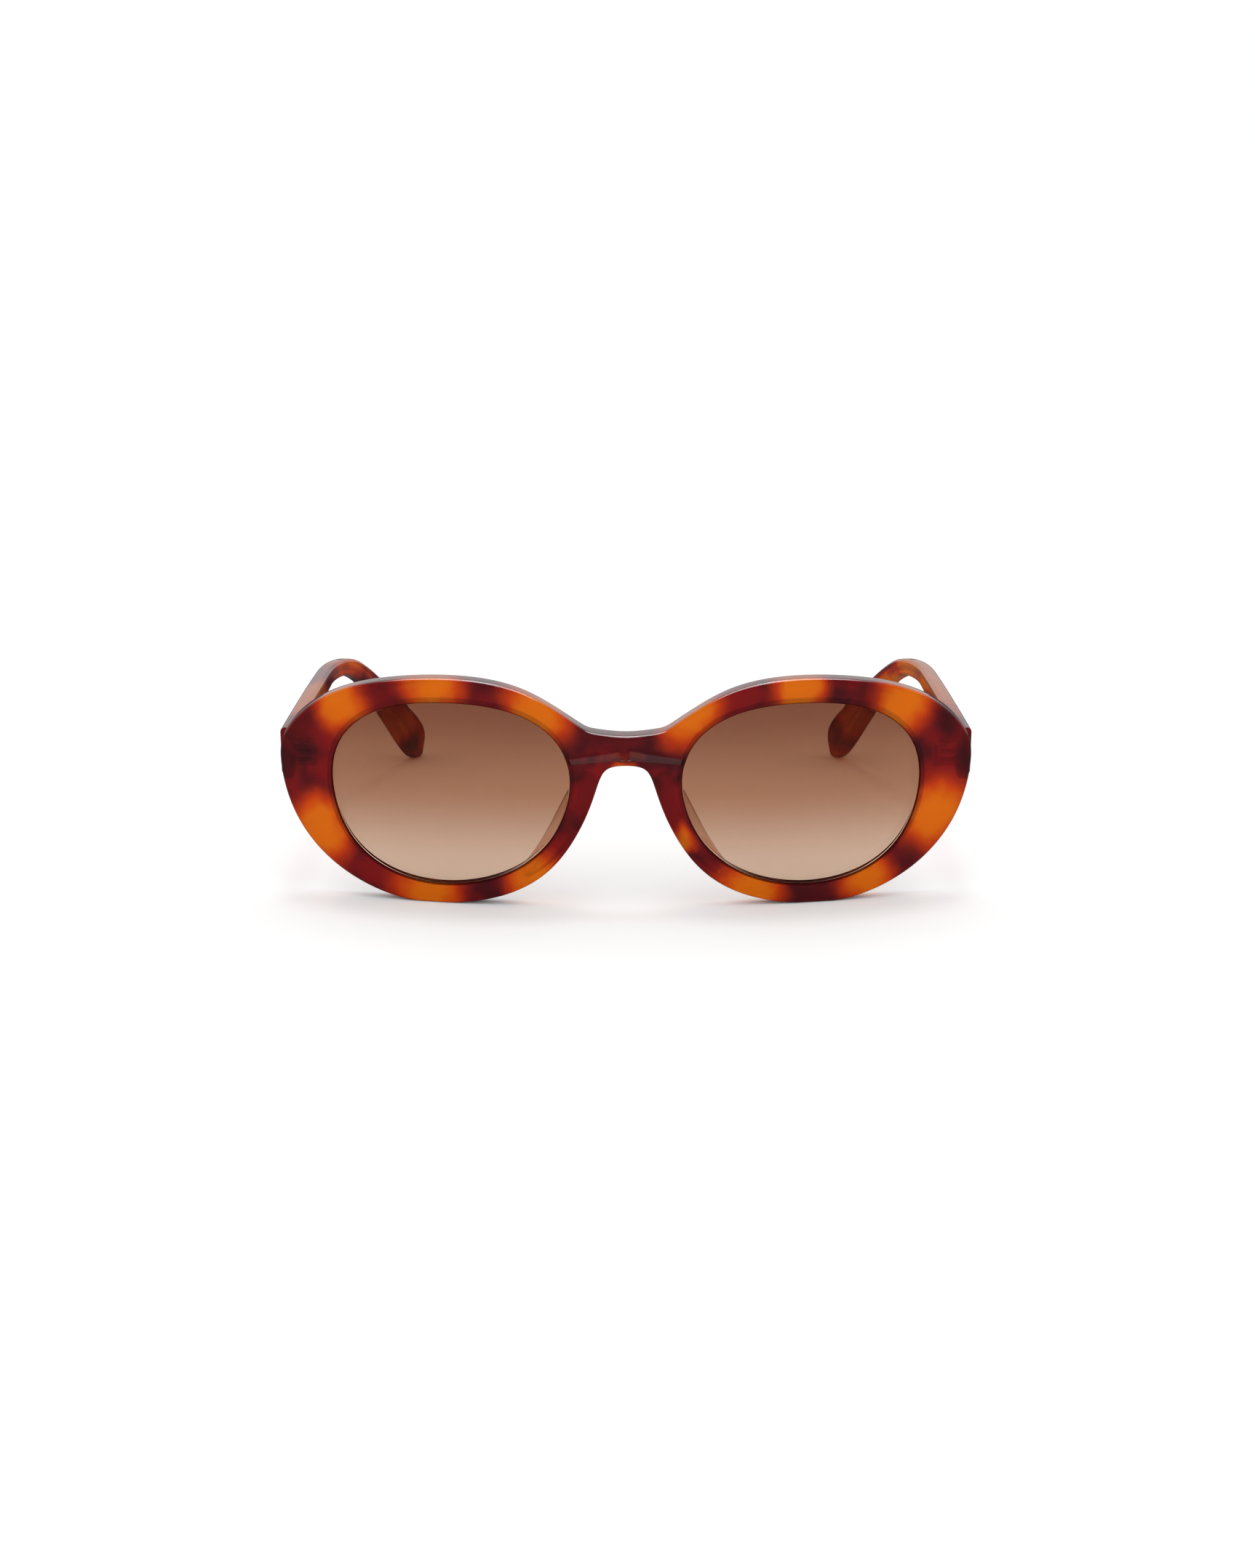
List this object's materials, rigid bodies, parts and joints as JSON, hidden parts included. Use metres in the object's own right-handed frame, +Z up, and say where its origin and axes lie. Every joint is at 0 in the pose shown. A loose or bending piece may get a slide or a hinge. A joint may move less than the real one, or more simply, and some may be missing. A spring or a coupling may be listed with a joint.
{
  "type": "sunglasses",
  "caption": "Oval-lens sunglasses with a slight cat-eye lift: tortoiseshell acetate front, brown gradient lenses, glued nose pads and folding temples on sunk metal hinges.",
  "frame": {"origin": "middle of the footprint, on the surface that the glasses stand on with the temples open", "axes": "+X towards the wearer's left, +Y from the front back along the open temples, +Z up"},
  "size_m": [0.1454, 0.1402, 0.0482],
  "materials": {
    "acetate": "polished tortoiseshell cellulose acetate, amber patches in dark red-brown",
    "lens_tint": "brown gradient tint, darker at the top, hard-coated resin lens",
    "hinge_steel": "nickel silver hinge leaves, tumbled",
    "screw_steel": "stainless steel screw with a slotted head",
    "core_steel": "drawn nickel silver wire"
  },
  "bodies": {
    "front_assembly": {"front": "acetate", "lens_left": "lens_tint", "lens_right": "lens_tint", "nose_pad_left": "acetate", "nose_pad_right": "acetate", "front_hinge_left": "hinge_steel", "front_hinge_right": "hinge_steel", "hinge_screw_left": "screw_steel", "hinge_screw_right": "screw_steel"},
    "left_arm": {"temple_left": "acetate", "temple_core_left": "core_steel", "temple_hinge_left": "hinge_steel"},
    "right_arm": {"temple_right": "acetate", "temple_core_right": "core_steel", "temple_hinge_right": "hinge_steel"}
  },
  "joints": [
    {"name": "left_fold", "type": "hinge", "parent": "front_assembly", "child": "left_arm", "pos_m": [0.0666, -0.0521, 0.03005], "axis": [0, 0, 1], "range_deg": [0, 84]},
    {"name": "right_fold", "type": "hinge", "parent": "front_assembly", "child": "right_arm", "pos_m": [-0.0666, -0.0521, 0.03005], "axis": [0, 0, -1], "range_deg": [0, 76]}
  ]
}
